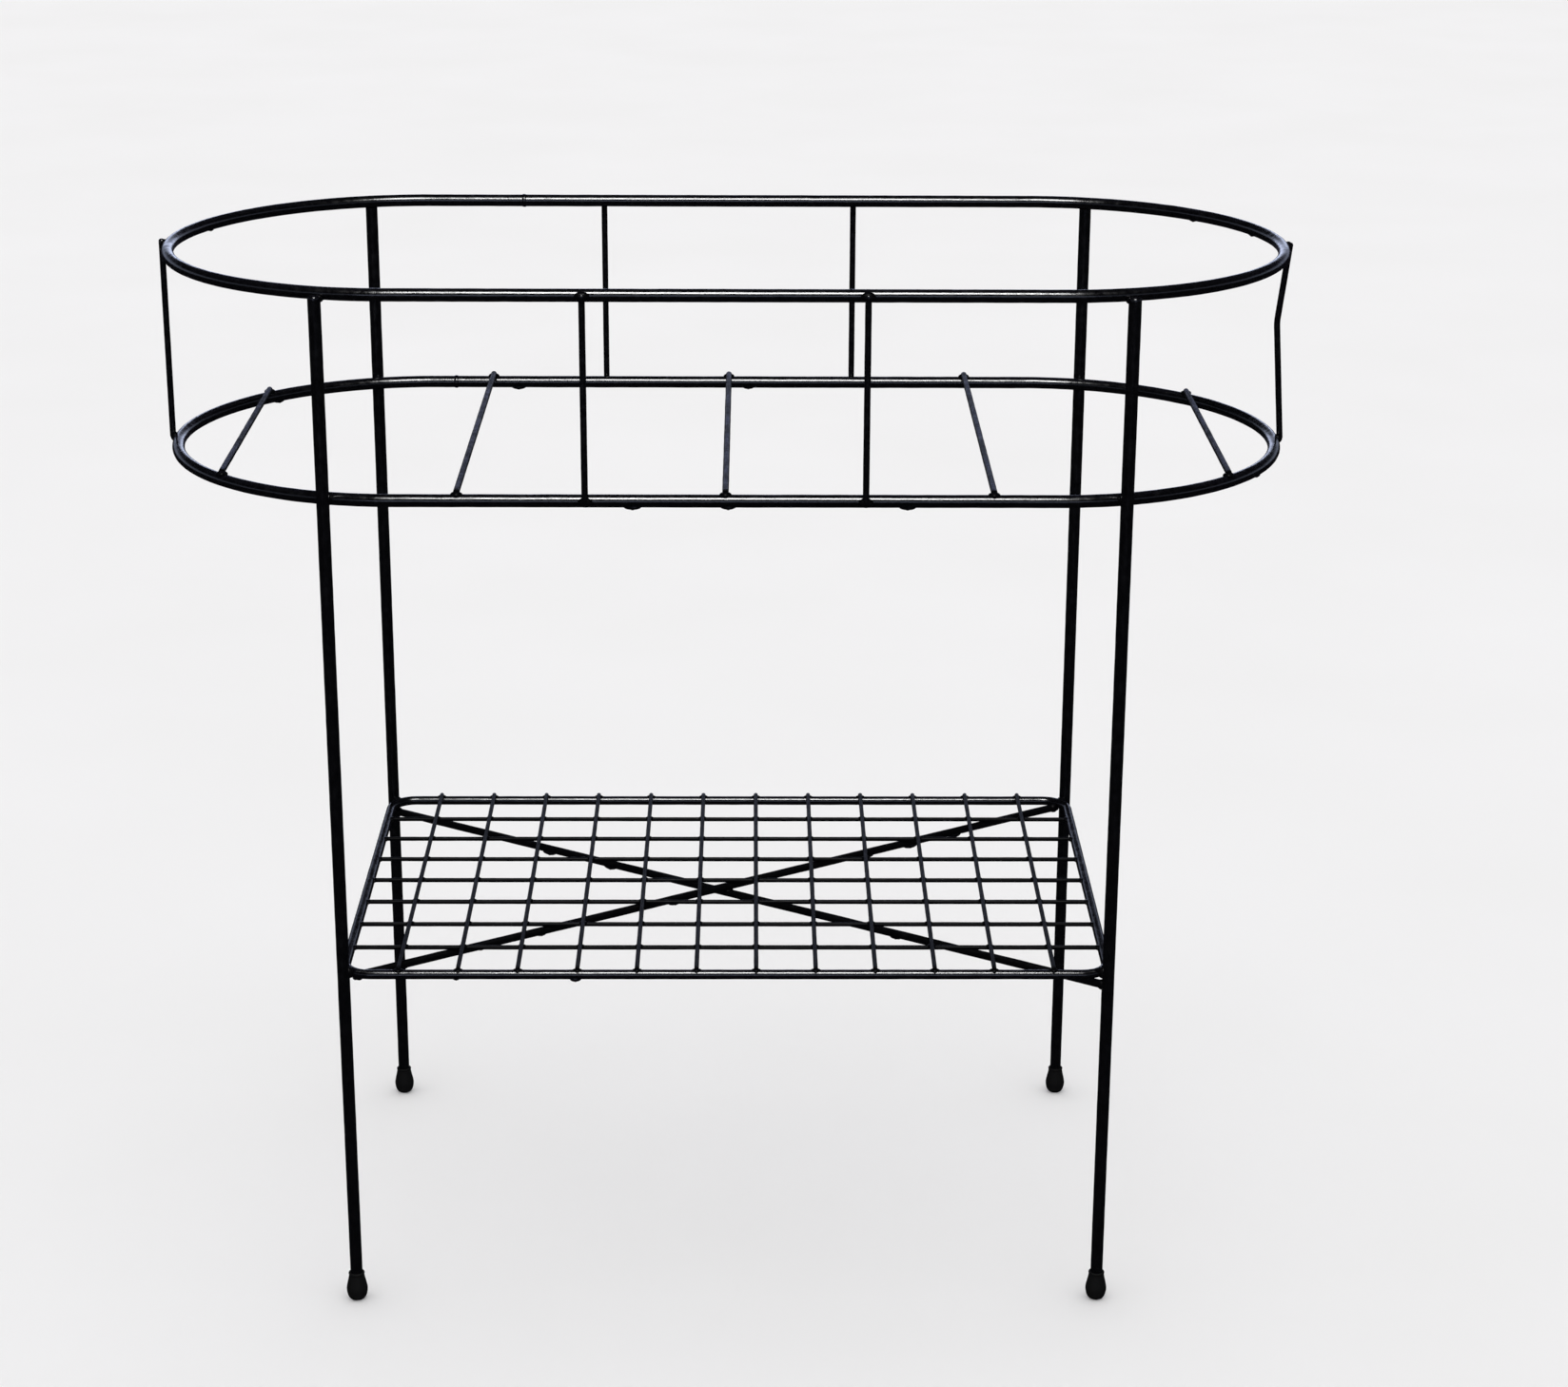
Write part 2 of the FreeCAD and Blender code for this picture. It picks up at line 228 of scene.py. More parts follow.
@dataclass(frozen=True)
class MouldedRubber:
    """Black moulded rubber.

    It gives the eye a matt black skin with a fine pebble, greyed by floor dust near the tread.
    """

    name: str = "black_moulded_rubber"
    skin: str = "#040404"
    chalk: str = "#161513"
    # A mould's real grain is finer than this and would not show, so it is drawn coarser.
    pebble_mm: float = 0.9
    pebble_band: Pair = (0.3, 0.7)
    octaves: float = 4.0
    pebble_bump: Pair = (0.4, 0.12)
    dust_rise_mm: float = 7.0
    dust_shares: Pair = (0.9, 0.15)
    matt: Pair = (0.62, 0.88)
    shine: float = 0.14

    def material(self) -> Material:
        """Build the rubber: a matt skin with a pebbled bump and dust that fades upwards.

        Returns:
            The material.
        """
        material, tree, place = new_material(self.name)
        scale = 1 / (self.pebble_mm * MM)
        pebble = add_node(tree, "ShaderNodeTexNoise", {"Vector": place, "Scale": scale, "Detail": self.octaves})
        height = add_node(tree, "ShaderNodeSeparateXYZ", {0: place}).outputs["Z"]
        dust, matt = (
            add_node(tree, "ShaderNodeMapRange", dict(enumerate((value, *source, *target))))
            for value, source, target in (
                (height, (0.0, self.dust_rise_mm * MM), self.dust_shares),
                (pebble, self.pebble_band, self.matt),
            )
        )
        dusty = add_node(tree, "ShaderNodeMath", {0: dust, 1: pebble}, operation="MULTIPLY")
        shine = {"Roughness": matt, "Specular IOR Level": self.shine}
        close_material(tree, self.skin, [(dusty, self.chalk)], [(pebble, self.pebble_bump)], shine)
        return material


@dataclass(frozen=True)
class StudioFloor:
    """Pale painted floor: it gives the eye a flat white with the faintest cloudiness."""

    name: str = "pale_floor_paint"
    light: str = "#f4f4f4"
    shade: str = "#efefee"
    cloud_mm: float = 420.0
    matt: float = 0.9

    def material(self) -> Material:
        """Build the floor's paint.

        Returns:
            The material.
        """
        material, tree, place = new_material(self.name)
        cloud = add_node(tree, "ShaderNodeTexNoise", {"Vector": place, "Scale": 1 / (self.cloud_mm * MM)})
        shine = {"Roughness": self.matt, "Specular IOR Level": 0.0}
        close_material(tree, self.light, [(cloud, self.shade)], [], shine)
        return material


@dataclass(frozen=True)
class Stock:
    """Rod stock: its diameter, how finely it is drawn, how uneven its enamel is and how round its ends are."""

    diameter: float
    step: float
    sides: int = 24
    ripple: float = 0.35
    # The rim of a filed end, as a share of the diameter.
    round_share: float = 0.17

    @property
    def half(self) -> float:
        """The rod's radius."""
        return self.diameter / 2

    def seat(self, other: "Stock") -> float:
        """From this rod's centre line to that of a rod that is set into it."""
        return (self.diameter + other.diameter) / 2 - SET_IN


@dataclass(frozen=True)
class RodPath:
    """A rod's centre line: its points, the rod's swell at each of them, and whether the ends meet."""

    points: tuple[Vector, ...]
    swells: Row
    closed: bool = False

    def mesh(self, name: str) -> Mesh:
        """Write the path as a line of edges that carries the swell.

        Args:
            name: The mesh's name.

        Returns:
            The line, in metres.
        """
        count = len(self.points)
        edges = [(i, i + 1) for i in range(count - 1)]
        if self.closed:
            edges.append((count - 1, 0))
        mesh = bpy.data.meshes.new(name)
        mesh.from_pydata([p * MM for p in self.points], edges, [])
        mesh.attributes.new("swell", "FLOAT", "POINT").data.foreach_set("value", self.swells)
        return mesh


def run_between(start: Vector, end: Vector, step: float) -> list[Vector]:
    """Even points, no further apart than a step, from start up to, but not at, the end."""
    count = max(1, math.ceil((end - start).length / step))
    return [start.lerp(end, i / count) for i in range(count)]


def arc_points(centre: Vector, first: Vector, second: Vector, turn: float, step: float) -> list[Vector]:
    """Even points round an arc, without its last one.

    Args:
        centre: The arc's centre.
        first: From the centre to the arc's start.
        second: From the centre to the arc a quarter turn on.
        turn: The angle of the arc.
        step: The widest spacing.

    Returns:
        The points.
    """
    count = max(LEAST_ARC_STEPS, math.ceil(first.length * turn / step))
    angles = [turn * i / count for i in range(count)]
    return [centre + first * math.cos(a) + second * math.sin(a) for a in angles]


def filed_path(middle: list[Vector], stock: Stock) -> RodPath:
    """Give an open path ends whose rims are filed round.

    Args:
        middle: The path's points, its two ends included.
        stock: The rod.

    Returns:
        The path with its rounded ends.
    """
    rim = stock.diameter * stock.round_share
    swells = [1 - 2 * stock.round_share * (1 - math.sin(a)) for a in RIM_TURNS]
    ahead = (middle[1] - middle[0]).normalized()
    back = (middle[-2] - middle[-1]).normalized()
    fall = [rim * (1 - math.cos(a)) for a in RIM_TURNS]
    head = [middle[0] + ahead * d for d in fall]
    tail = [middle[-1] + back * d for d in fall][::-1]
    inner = [p for p in middle if min((p - middle[0]).length, (p - middle[-1]).length) > 2 * rim]
    return RodPath(tuple(head + inner + tail), tuple(swells + [1.0] * len(inner) + swells[::-1]))


def straight_path(start: Vector, end: Vector, stock: Stock) -> RodPath:
    """A straight rod with filed ends."""
    return filed_path(run_between(start, end, stock.step) + [end], stock)


def bent_path(start: Vector, kink: Vector, end: Vector, radius: float, stock: Stock) -> RodPath:
    """A rod of two straight runs that lean towards a kink, joined by one soft bend.

    Args:
        start: The rod's first end.
        kink: Where the two runs would meet.
        end: The rod's other end.
        radius: The bend's radius.
        stock: The rod.

    Returns:
        The path with its rounded ends.
    """
    back, ahead = (start - kink).normalized(), (end - kink).normalized()
    half_turn = (math.pi - back.angle(ahead)) / 2
    trim = radius * math.tan(half_turn)
    bend_start, bend_end = kink + back * trim, kink + ahead * trim
    centre = kink + (back + ahead).normalized() * (radius / math.cos(half_turn))
    points = run_between(start, bend_start, stock.step)
    points += arc_points(centre, bend_start - centre, -back * radius, 2 * half_turn, stock.step)
    return filed_path(points + run_between(bend_end, end, stock.step) + [end], stock)


def loop_path(half_length: float, half_width: float, corner: float, z: float, step: float) -> RodPath:
    """A closed loop with rounded corners.

    Args:
        half_length: Half the loop's length.
        half_width: Half the loop's width.
        corner: The corners' radius.
        z: The loop's height.
        step: The widest spacing of points.

    Returns:
        The closed path.
    """
    inner = Vector((half_length - corner, half_width - corner, 0))
    points: list[Vector] = []
    for turn, (side_x, side_y) in enumerate([(1, 1), (-1, 1), (-1, -1), (1, -1)]):
        centre = Vector((side_x * inner.x, side_y * inner.y, z))
        angle = turn * math.pi / 2
        outward = Vector((math.cos(angle), math.sin(angle), 0))
        heading = Vector((-math.sin(angle), math.cos(angle), 0))
        points += arc_points(centre, outward * corner, heading * corner, math.pi / 2, step)
        run = 2 * (inner.x if turn % 2 == 0 else inner.y)
        if run > 0:
            end = centre + heading * corner
            points += run_between(end, end - outward * run, step)
    return RodPath(tuple(points), (1.0,) * len(points), True)


def spaced(outer: float, count: int) -> list[float]:
    """Even places from one side to the other."""
    return [outer * (2 * i / (count - 1) - 1) for i in range(count)]


def finish_piece(mesh: Mesh, nodes: list[str]) -> None:
    """Make a piece, fix it to the table's body and let it stand for its CAD nodes.

    Args:
        mesh: The finished mesh, which has the piece's name.
        nodes: The CAD nodes that it stands for, if any.
    """
    piece = new_object(mesh.name, mesh)
    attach(piece, BODY)
    if nodes:
        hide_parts(*nodes)
    LOG.info("%s: %d faces, stands for %d nodes", piece.name, len(mesh.polygons), len(nodes))


class NodeTool:
    """A Geometry Nodes tree with named inputs, run on a source mesh and turned to a plain mesh."""

    OCTAVES = 2.0
    # Above a half, so that most of the uneven skin lies inside the even one.
    SKIN_LEVEL = 0.6
    NAME: str
    WAVE_LENGTH: float

    def __init__(self, coat: Material) -> None:
        """Start a tree with one way in and one way out, and build it.

        Args:
            coat: The enamel that a piece wears unless it is given another.
        """
        self.coat = coat
        self.tree = bpy.data.node_groups.new(self.NAME, "GeometryNodeTree")
        self.ways = self.tree.interface
        for way in ("INPUT", "OUTPUT"):
            self.ways.new_socket("Geometry", in_out=way, socket_type="NodeSocketGeometry")
        self.entry = self.tree.nodes.new("NodeGroupInput")
        self.keys: dict[str, str] = {}
        self.grow()

    def grow(self) -> None:
        """Build the tree; each kind of tool has its own."""
        raise NotImplementedError

    def input(self, name: str, kind: str) -> NodeSocket:
        """Add a named input of a type such as "Float" and return the socket with its value inside the tree."""
        self.keys[name] = self.ways.new_socket(name, in_out="INPUT", socket_type=f"NodeSocket{kind}").identifier
        return self.entry.outputs[name]

    def close(self, shape: Node) -> None:
        """Push a shape's surface in and out by a soft noise, then smooth, realize and paint it.

        Args:
            shape: The node that gives the shape.
        """
        tree = self.tree
        length, depth, seed = (self.input(f"Wave {key}", "Float") for key in ("length", "depth", "seed"))
        coat = self.input("Coat", "Material")
        per_metre = add_node(tree, "ShaderNodeMath", {0: 1.0, 1: length}, operation="DIVIDE")
        waves = {"Scale": per_metre, "W": seed, "Detail": self.OCTAVES}
        noise = add_node(tree, "ShaderNodeTexNoise", waves, noise_dimensions="4D")
        lift = add_node(tree, "ShaderNodeMath", {0: noise, 1: self.SKIN_LEVEL}, operation="SUBTRACT")
        rise = add_node(tree, "ShaderNodeMath", {0: lift, 1: depth}, operation="MULTIPLY")
        normal = add_node(tree, "GeometryNodeInputNormal")
        push = add_node(tree, "ShaderNodeVectorMath", {0: normal, "Scale": rise}, operation="SCALE")
        for kind, inputs in (
            ("GeometryNodeRealizeInstances", {}),
            ("GeometryNodeSetPosition", {"Offset": push}),
            ("GeometryNodeSetShadeSmooth", {}),
            ("GeometryNodeRealizeInstances", {}),
            ("GeometryNodeSetMaterial", {"Material": coat}),
            ("NodeGroupOutput", {}),
        ):
            shape = add_node(tree, kind, {"Geometry": shape} | inputs)

    def run(
        self, name: str, nodes: list[str], source: Mesh, values: dict[str, Any], coat: Material | None
    ) -> None:
        """Run the tree on a source mesh and put a plain mesh in place of CAD nodes.

        Args:
            name: The finished piece's name.
            nodes: The CAD nodes that it stands for, if any.
            source: The mesh that goes in.
            values: A value for each named input that isn't the same for all pieces.
            coat: Another enamel than the tool's own.
        """
        holder = new_object(name + "_source", source)
        modifier = holder.modifiers.new("shape", "NODES")
        modifier.node_group = self.tree
        common = {"Wave length": self.WAVE_LENGTH * MM, "Coat": coat or self.coat}
        for key, value in (values | common).items():
            modifier[self.keys[key]] = value
        evaluated = holder.evaluated_get(bpy.context.evaluated_depsgraph_get())
        mesh = bpy.data.meshes.new_from_object(evaluated)
        mesh.name = name
        holder.modifiers.remove(modifier)
        bpy.data.objects.remove(holder)
        finish_piece(mesh, nodes)


class RodTool(NodeTool):
    """Sweeps a rod along a path, copies it in a row and lays uneven enamel on it."""

    NAME = "enamelled_rod"
    WAVE_LENGTH = 14.0

    def grow(self) -> None:
        """Build the tree: a circle swept along the path, then copied."""
        tree = self.tree
        radius, sides = self.input("Rod radius", "Float"), self.input("Sides", "Int")
        copies, step = self.input("Copies", "Int"), self.input("Copy step", "Vector")
        path = add_node(tree, "GeometryNodeMeshToCurve", {0: self.entry})
        rim = add_node(tree, "GeometryNodeCurvePrimitiveCircle", {"Resolution": sides, "Radius": radius})
        swell = add_node(tree, "GeometryNodeInputNamedAttribute", {"Name": "swell"}, data_type="FLOAT")
        sweep = {"Curve": path, "Profile Curve": rim, "Scale": swell, "Fill Caps": True}
        tube = add_node(tree, "GeometryNodeCurveToMesh", sweep)
        row = add_node(tree, "GeometryNodeMeshLine", {"Count": copies, "Offset": step})
        self.close(add_node(tree, "GeometryNodeInstanceOnPoints", {"Points": row, "Instance": tube}))

    def rod(
        self, name: str, path: RodPath, stock: Stock, seed: float, nodes: list[str] | None = None,
        step: Vector | None = None, coat: Material | None = None,
    ) -> None:
        """Make a rod, or a row of them, in place of its CAD nodes.

        Args:
            name: What the piece is.
            path: The first rod's centre line.
            stock: The rod.
            seed: Which stretch of the noise the enamel follows.
            nodes: The CAD nodes of a row, one for each rod; a single rod's node has the rod's name.
            step: From one rod of a row to the next.
            coat: Another enamel than the tool's own.
        """
        nodes = nodes or [name]
        values = {
            "Rod radius": stock.half * MM, "Sides": stock.sides, "Copies": len(nodes),
            "Copy step": (step or Vector()) * MM, "Wave depth": stock.ripple * MM, "Wave seed": seed,
        }
        self.run(f"{name}_enamelled", nodes, path.mesh(f"{name}_path"), values, coat)


@dataclass(frozen=True)
class Lump:
    """A lump of weld or paint: its centre, its half sizes and its heading about the vertical."""

    centre: Vector
    spread: Vector
    heading: float = 0.0


def spread_of(half: float, shares: Triple = (1.0, 1.0, 1.0)) -> Vector:
    """A lump's half sizes, as shares of one length."""
    return Vector([half * share for share in shares])


class BeadTool(NodeTool):
    """Sets lumps of weld metal or paint on given spots, round or drawn out along the rods that they join."""

    NAME = "lumps_on_spots"
    WAVE_LENGTH = 4.0
    LEAST_RINGS = 5

    def grow(self) -> None:
        """Build the tree: a drawn-out ball on every spot."""
        tree = self.tree
        sides, rings = self.input("Sides", "Int"), self.input("Rings", "Int")
        pinch = self.input("Pinch", "Float")
        ball = add_node(tree, "GeometryNodeMeshUVSphere", {"Segments": sides, "Rings": rings, "Radius": 1.0})
        spread, heading = (
            add_node(tree, "GeometryNodeInputNamedAttribute", {"Name": name}, data_type=kind)
            for name, kind in (("spread", "FLOAT_VECTOR"), ("heading", "FLOAT"))
        )
        euler = add_node(tree, "ShaderNodeCombineXYZ", {"Z": heading})
        turn = add_node(tree, "FunctionNodeEulerToRotation", {0: euler})
        web = self.drawn_out(ball, pinch)
        lumps = {"Points": self.entry, "Instance": web, "Scale": spread, "Rotation": turn}
        self.close(add_node(tree, "GeometryNodeInstanceOnPoints", lumps))

    def drawn_out(self, ball: Node, pinch: NodeSocket) -> Node:
        """Pull a ball in between its X and Y ways, as weld and paint draw out along two crossing rods.

        Args:
            ball: The node that gives the ball.
            pinch: The share of its radius that is lost half way between the two rods.

        Returns:
            The node that gives the pinched ball.
        """
        tree = self.tree
        place = add_node(tree, "GeometryNodeInputPosition")
        level = add_node(tree, "ShaderNodeVectorMath", {0: place, 1: (1.0, 1.0, 0.0)}, operation="MULTIPLY")
        way = add_node(tree, "ShaderNodeVectorMath", {0: level}, operation="NORMALIZE")
        part = add_node(tree, "ShaderNodeSeparateXYZ", {0: way}).outputs
        slant = add_node(tree, "ShaderNodeMath", {0: part["X"], 1: part["Y"]}, operation="MULTIPLY")
        loss = slant
        for share in (slant, pinch):
            loss = add_node(tree, "ShaderNodeMath", {0: loss, 1: share}, operation="MULTIPLY")
        # Half way between the rods the squared slant is a quarter, so four of it take the whole pinch.
        left = add_node(tree, "ShaderNodeMath", {0: loss, 1: -4.0, 2: 1.0}, operation="MULTIPLY_ADD")
        squeeze = add_node(tree, "ShaderNodeCombineXYZ", {"X": left, "Y": left, "Z": 1.0})
        drawn = add_node(tree, "ShaderNodeVectorMath", {0: place, 1: squeeze}, operation="MULTIPLY")
        return add_node(tree, "GeometryNodeSetPosition", {"Geometry": ball, "Position": drawn})

    def lumps(
        self, name: str, nodes: list[str], spots: list[Lump], seed: float,
        sides: int = 32, pinch: float = 0.0, depth: float = 0.8, coat: Material | None = None,
    ) -> None:
        """Make lumps on their spots.

        Args:
            name: The piece's name.
            nodes: The CAD nodes that it stands for.
            spots: The lumps.
            seed: Which stretch of the noise they follow.
            sides: Faces round a lump.
            pinch: How far it is pulled in between the rods that it joins.
            depth: How uneven it is.
            coat: Another enamel than the tool's own.
        """
        mesh = bpy.data.meshes.new(name + "_spots")
        mesh.from_pydata([s.centre * MM for s in spots], [], [])
        spread = [value * MM for s in spots for value in s.spread]
        mesh.attributes.new("spread", "FLOAT_VECTOR", "POINT").data.foreach_set("vector", spread)
        mesh.attributes.new("heading", "FLOAT", "POINT").data.foreach_set("value", [s.heading for s in spots])
        rings = max(self.LEAST_RINGS, sides // 3)
        values = {"Sides": sides, "Rings": rings, "Pinch": pinch, "Wave depth": depth * MM, "Wave seed": seed}
        self.run(name, nodes, mesh, values, coat)


@dataclass
class Rings:
    """The two equal rings of the tray: straight sides and half-round ends."""

    rod: Stock = Stock(9.5, 3.5)
    half_straight: float = 240.0
    bend: float = 180.0
    upper_z: float = 796.25
    lower_z: float = 646.25
    seed: float = 1.0

    def half_width(self, x: float) -> float:
        """Half the width between centre lines at a place along the table."""
        return math.sqrt(self.bend ** 2 - max(abs(x) - self.half_straight, 0) ** 2)

    def half_length(self) -> float:
        """Half the length between centre lines."""
        return self.half_straight + self.bend

    def build(self, rods: RodTool) -> None:
        """Sweep both rings.

        Args:
            rods: The tool that makes rods.
        """
        for number, (name, z) in enumerate((("upper_ring", self.upper_z), ("lower_ring", self.lower_z))):
            path = loop_path(self.half_length(), self.bend, self.bend, z, self.rod.step)
            rods.rod(name, path, self.rod, self.seed + number)


@dataclass(frozen=True)
class Foot:
    """A rubber foot that is turned from an outline and pushed on a leg."""

    segments: int = 64
    steps: int = 12
    tread: float = 8.4
    flat: float = 0.6
    edge: float = 0.05
    bulge: float = 16.4
    bulge_z: float = 9.0
    # How full the bulge is, as powers on its width and its height.
    curve: Pair = (0.9, 0.95)
    # The shares of the shoulder that fall straight and softly.
    taper: Pair = (0.55, 0.45)
    height: float = 23.0
    lip: float = 1.5
    rim: float = 1.0
    # Where the shoulder meets the rolled rim: how far in and how far down, in rim radii.
    throat: Pair = (0.36, 1.77)
    rim_turns: tuple[int, ...] = (-25, 0, 25, 50, 75, 90)
    gap: float = 0.2
    # How far the lip's inner edge is tucked into the leg and below the rim.
    tuck: Pair = (0.4, 0.5)

    def profile(self, leg: float) -> list[Pair]:
        """The foot's outline, as radius and height.

        Args:
            leg: The leg's radius.

        Returns:
            Points from the middle of the tread to where the lip meets the leg.
        """
        tread, bulge, rim = self.tread / 2, self.bulge / 2, self.rim
        collar = leg + self.lip
        throat = collar - rim * self.throat[0]
        neck = self.height - rim * self.throat[1] - self.bulge_z
        outline = [(0.0, 0.0), (tread * self.flat, 0.0), (tread, self.edge)]
        for i in range(1, self.steps + 1):
            a = math.pi / 2 * i / self.steps
            wide, high = math.sin(a) ** self.curve[0], (1 - math.cos(a)) ** self.curve[1]
            outline.append((tread + (bulge - tread) * wide, self.edge + (self.bulge_z - self.edge) * high))
        for i in range(1, self.steps + 1):
            t = i / self.steps
            ease = t * t * (3 - 2 * t)
            inward = (bulge - throat) * (self.taper[0] * t + self.taper[1] * ease)
            outline.append((bulge - inward, self.bulge_z + neck * t))
        for degrees in self.rim_turns:
            a = math.radians(degrees)
            outline.append((collar - rim + rim * math.cos(a), self.height - rim + rim * math.sin(a)))
        outline.append((leg + self.gap, self.height))
        outline.append((leg - self.tuck[0], self.height - self.tuck[1]))
        return outline

    def build(self, name: str, x: float, y: float, leg: float, rubber: Material) -> None:
        """Turn a foot from its outline, in place of its CAD node.

        Args:
            name: The CAD node.
            x: The leg's place along the table.
            y: The leg's place across the table.
            leg: The leg's radius.
            rubber: What the foot is made of.
        """
        outline = self.profile(leg)
        count = self.segments
        turns = [2 * math.pi * i / count for i in range(count)]
        points = [Vector((x, y, 0))]
        for radius, z in outline[1:]:
            points += [Vector((x + radius * math.cos(a), y + radius * math.sin(a), z)) for a in turns]
        last = len(points)
        points.append(Vector((x, y, outline[-1][1])))
        top = last - count
        faces: list[tuple[int, ...]] = []
        for i in range(count):
            j = (i + 1) % count
            faces.append((0, 1 + j, 1 + i))
            for a in range(1, top, count):
                faces.append((a + i, a + j, a + count + j, a + count + i))
            faces.append((top + i, top + j, last))
        mesh = bpy.data.meshes.new(f"{name}_rubber")
        mesh.from_pydata([p * MM for p in points], [], faces)
        mesh.shade_smooth()
        mesh.materials.append(rubber)
        finish_piece(mesh, [name])


@dataclass
class Legs:
    """Four straight legs outside the rings and the rubber feet pushed on them."""

    rod: Stock = Stock(9.5, 3.5)
    foot: Foot = Foot()
    x: float = 288.89
    y: float = 182.46
    bottom: float = 5.0
    top: float = 796.25
    seed: float = 10.0

    def build(self, rods: RodTool, rubber: Material) -> None:
        """Make each leg and its foot.

        Args:
            rods: The tool that makes rods.
            rubber: What the feet are made of.
        """
        for number, corner in enumerate(Corner):
            x, y = corner.value[0] * self.x, corner.value[1] * self.y
            path = straight_path(Vector((x, y, self.bottom)), Vector((x, y, self.top)), self.rod)
            rods.rod(f"{corner.name}_leg", path, self.rod, self.seed + number)
            self.foot.build(f"{corner.name}_foot", x, y, self.rod.half, rubber)


@dataclass
class Tray:
    """The tray between the rings: spindles outside them and bars across the lower one."""

    rings: Rings
    spindle: Stock = Stock(4.8, 3.0, 18)
    end_spindle: Stock = Stock(4.8, 3.0, 18, ripple=0.2, round_share=0.4)
    bar: Stock = Stock(4.8, 3.0, 18)
    side_x: float = 100.8
    side_rise: float = 2.0
    side_seed: float = 20.0
    end_rises: Pair = (4.0, 3.0)
    end_seed: float = 25.0
    drop: float = 1.0
    kink_depth: float = 7.0
    kink_share: float = 0.61
    kink_radius: float = 40.0
    bar_shares: Row = (-0.88, -0.46, 0.0, 0.46, 0.88)
    bar_overhang: float = 1.0
    bar_seed: float = 30.0

    def bar_places(self) -> list[Pair]:
        """Each bar's place along the table and the half width of the ring there."""
        places = [share * self.rings.half_length() for share in self.bar_shares]
        return [(x, self.rings.half_width(x)) for x in places]

    def build(self, rods: RodTool, bar_coat: Material) -> None:
        """Make the spindles, the right end one knocked in, and the bars.

        Args:
            rods: The tool that makes rods.
            bar_coat: The dustier enamel on the bars, whose film on top is also a painted sheen of reflected sky.
        """
        rings, tip = self.rings, self.end_spindle
        out = rings.rod.seat(self.spindle)
        low, high = rings.lower_z - self.drop, rings.upper_z + self.side_rise
        for number, corner in enumerate(Corner):
            x, y = corner.value[0] * self.side_x, corner.value[1] * (rings.bend + out)
            path = straight_path(Vector((x, y, low)), Vector((x, y, high)), self.spindle)
            rods.rod(f"{corner.name}_spindle", path, self.spindle, self.side_seed + number)
        x = rings.half_length() + out
        left_high, right_high = (rings.upper_z + rise for rise in self.end_rises)
        left = straight_path(Vector((-x, 0, low)), Vector((-x, 0, left_high)), tip)
        kink_z = rings.lower_z + (rings.upper_z - rings.lower_z) * self.kink_share
        kink = Vector((x - self.kink_depth, 0, kink_z))
        right = bent_path(Vector((x, 0, low)), kink, Vector((x, 0, right_high)), self.kink_radius, tip)
        for number, (side, path) in enumerate((("left", left), ("right", right))):
            rods.rod(f"{side}_end_spindle", path, tip, self.end_seed + number)
        z = rings.lower_z + rings.rod.seat(self.bar)
        for number, (x, half) in enumerate(self.bar_places(), start=1):
            reach = half + self.bar_overhang
            path = straight_path(Vector((x, -reach, z)), Vector((x, reach, z)), self.bar)
            rods.rod(f"tray_bar_{number}", path, self.bar, self.bar_seed + number, coat=bar_coat)


@dataclass
class Shelf:
    """The shelf: a rounded rod frame, a welded wire mesh on it and two braces that cross under it."""

    legs: Legs
    rail: Stock = Stock(7.5, 4.0, 20)
    wire: Stock = Stock(3.6, 4.0, 12, ripple=0.3)
    brace: Stock = Stock(6.4, 4.0, 18)
    z: float = 276.0
    half_length: float = 289.16
    half_width: float = 182.73
    corner: float = 20.0
    cross_count: int = 12
    cross_edge: float = 41.7
    cross_overhang: float = 1.5
    long_count: int = 7
    long_edge: float = 47.7
    seed: float = 40.0

    def __post_init__(self) -> None:
        """Work out the wires' and braces' heights, how far the rail is from a leg, and the wires' places."""
        self.cross_z = self.z + self.rail.seat(self.wire)
        self.long_z = self.cross_z - self.wire.diameter
        self.upper_brace_z = self.long_z - (self.wire.diameter + self.brace.diameter) / 2
        self.lower_brace_z = self.upper_brace_z - self.brace.diameter + SET_IN
        self.leg_to_rail = self.legs.rod.seat(self.rail)
        self.cross_places = spaced(self.half_length - self.cross_edge, self.cross_count)
        self.long_places = spaced(self.half_width - self.long_edge, self.long_count)

    def build(self, rods: RodTool, dull_coat: Material) -> None:
        """Make the frame, both layers of wires and the braces.

        Args:
            rods: The tool that makes rods.
            dull_coat: The duller enamel on the wires and braces.
        """
        loop = loop_path(self.half_length, self.half_width, self.corner, self.z, self.rail.step)
        rods.rod("shelf_frame", loop, self.rail, self.seed)
        xs, ys = self.cross_places, self.long_places
        reach = Vector((0, self.half_width + self.cross_overhang, 0))
        half = Vector((self.half_length, 0, 0))
        layers = (
            ("cross", Vector((xs[0], 0, self.cross_z)), reach, len(xs), Vector((xs[1] - xs[0], 0, 0))),
            ("long", Vector((0, ys[0], self.long_z)), half, len(ys), Vector((0, ys[1] - ys[0], 0))),
        )
        for number, (layer, middle, arm, count, step) in enumerate(layers, start=1):
            path = straight_path(middle - arm, middle + arm, self.wire)
            nodes = [f"shelf_{layer}_wire_{i}" for i in range(1, count + 1)]
            rods.rod(f"shelf_{layer}_wires", path, self.wire, self.seed + number, nodes, step, dull_coat)
        braces = (
            ("upper", 1, self.upper_brace_z, self.leg_to_rail), ("lower", -1, self.lower_brace_z, 0.0)
        )
        for number, (name, slope, z, clear) in enumerate(braces, start=1 + len(layers)):
            corner = Vector((self.legs.x, slope * self.legs.y, 0))
            arm = corner * (1 - clear / corner.length)
            middle = Vector((0, 0, z))
            path = straight_path(middle - arm, middle + arm, self.brace)
            rods.rod(f"shelf_{name}_brace", path, self.brace, self.seed + number, coat=dull_coat)


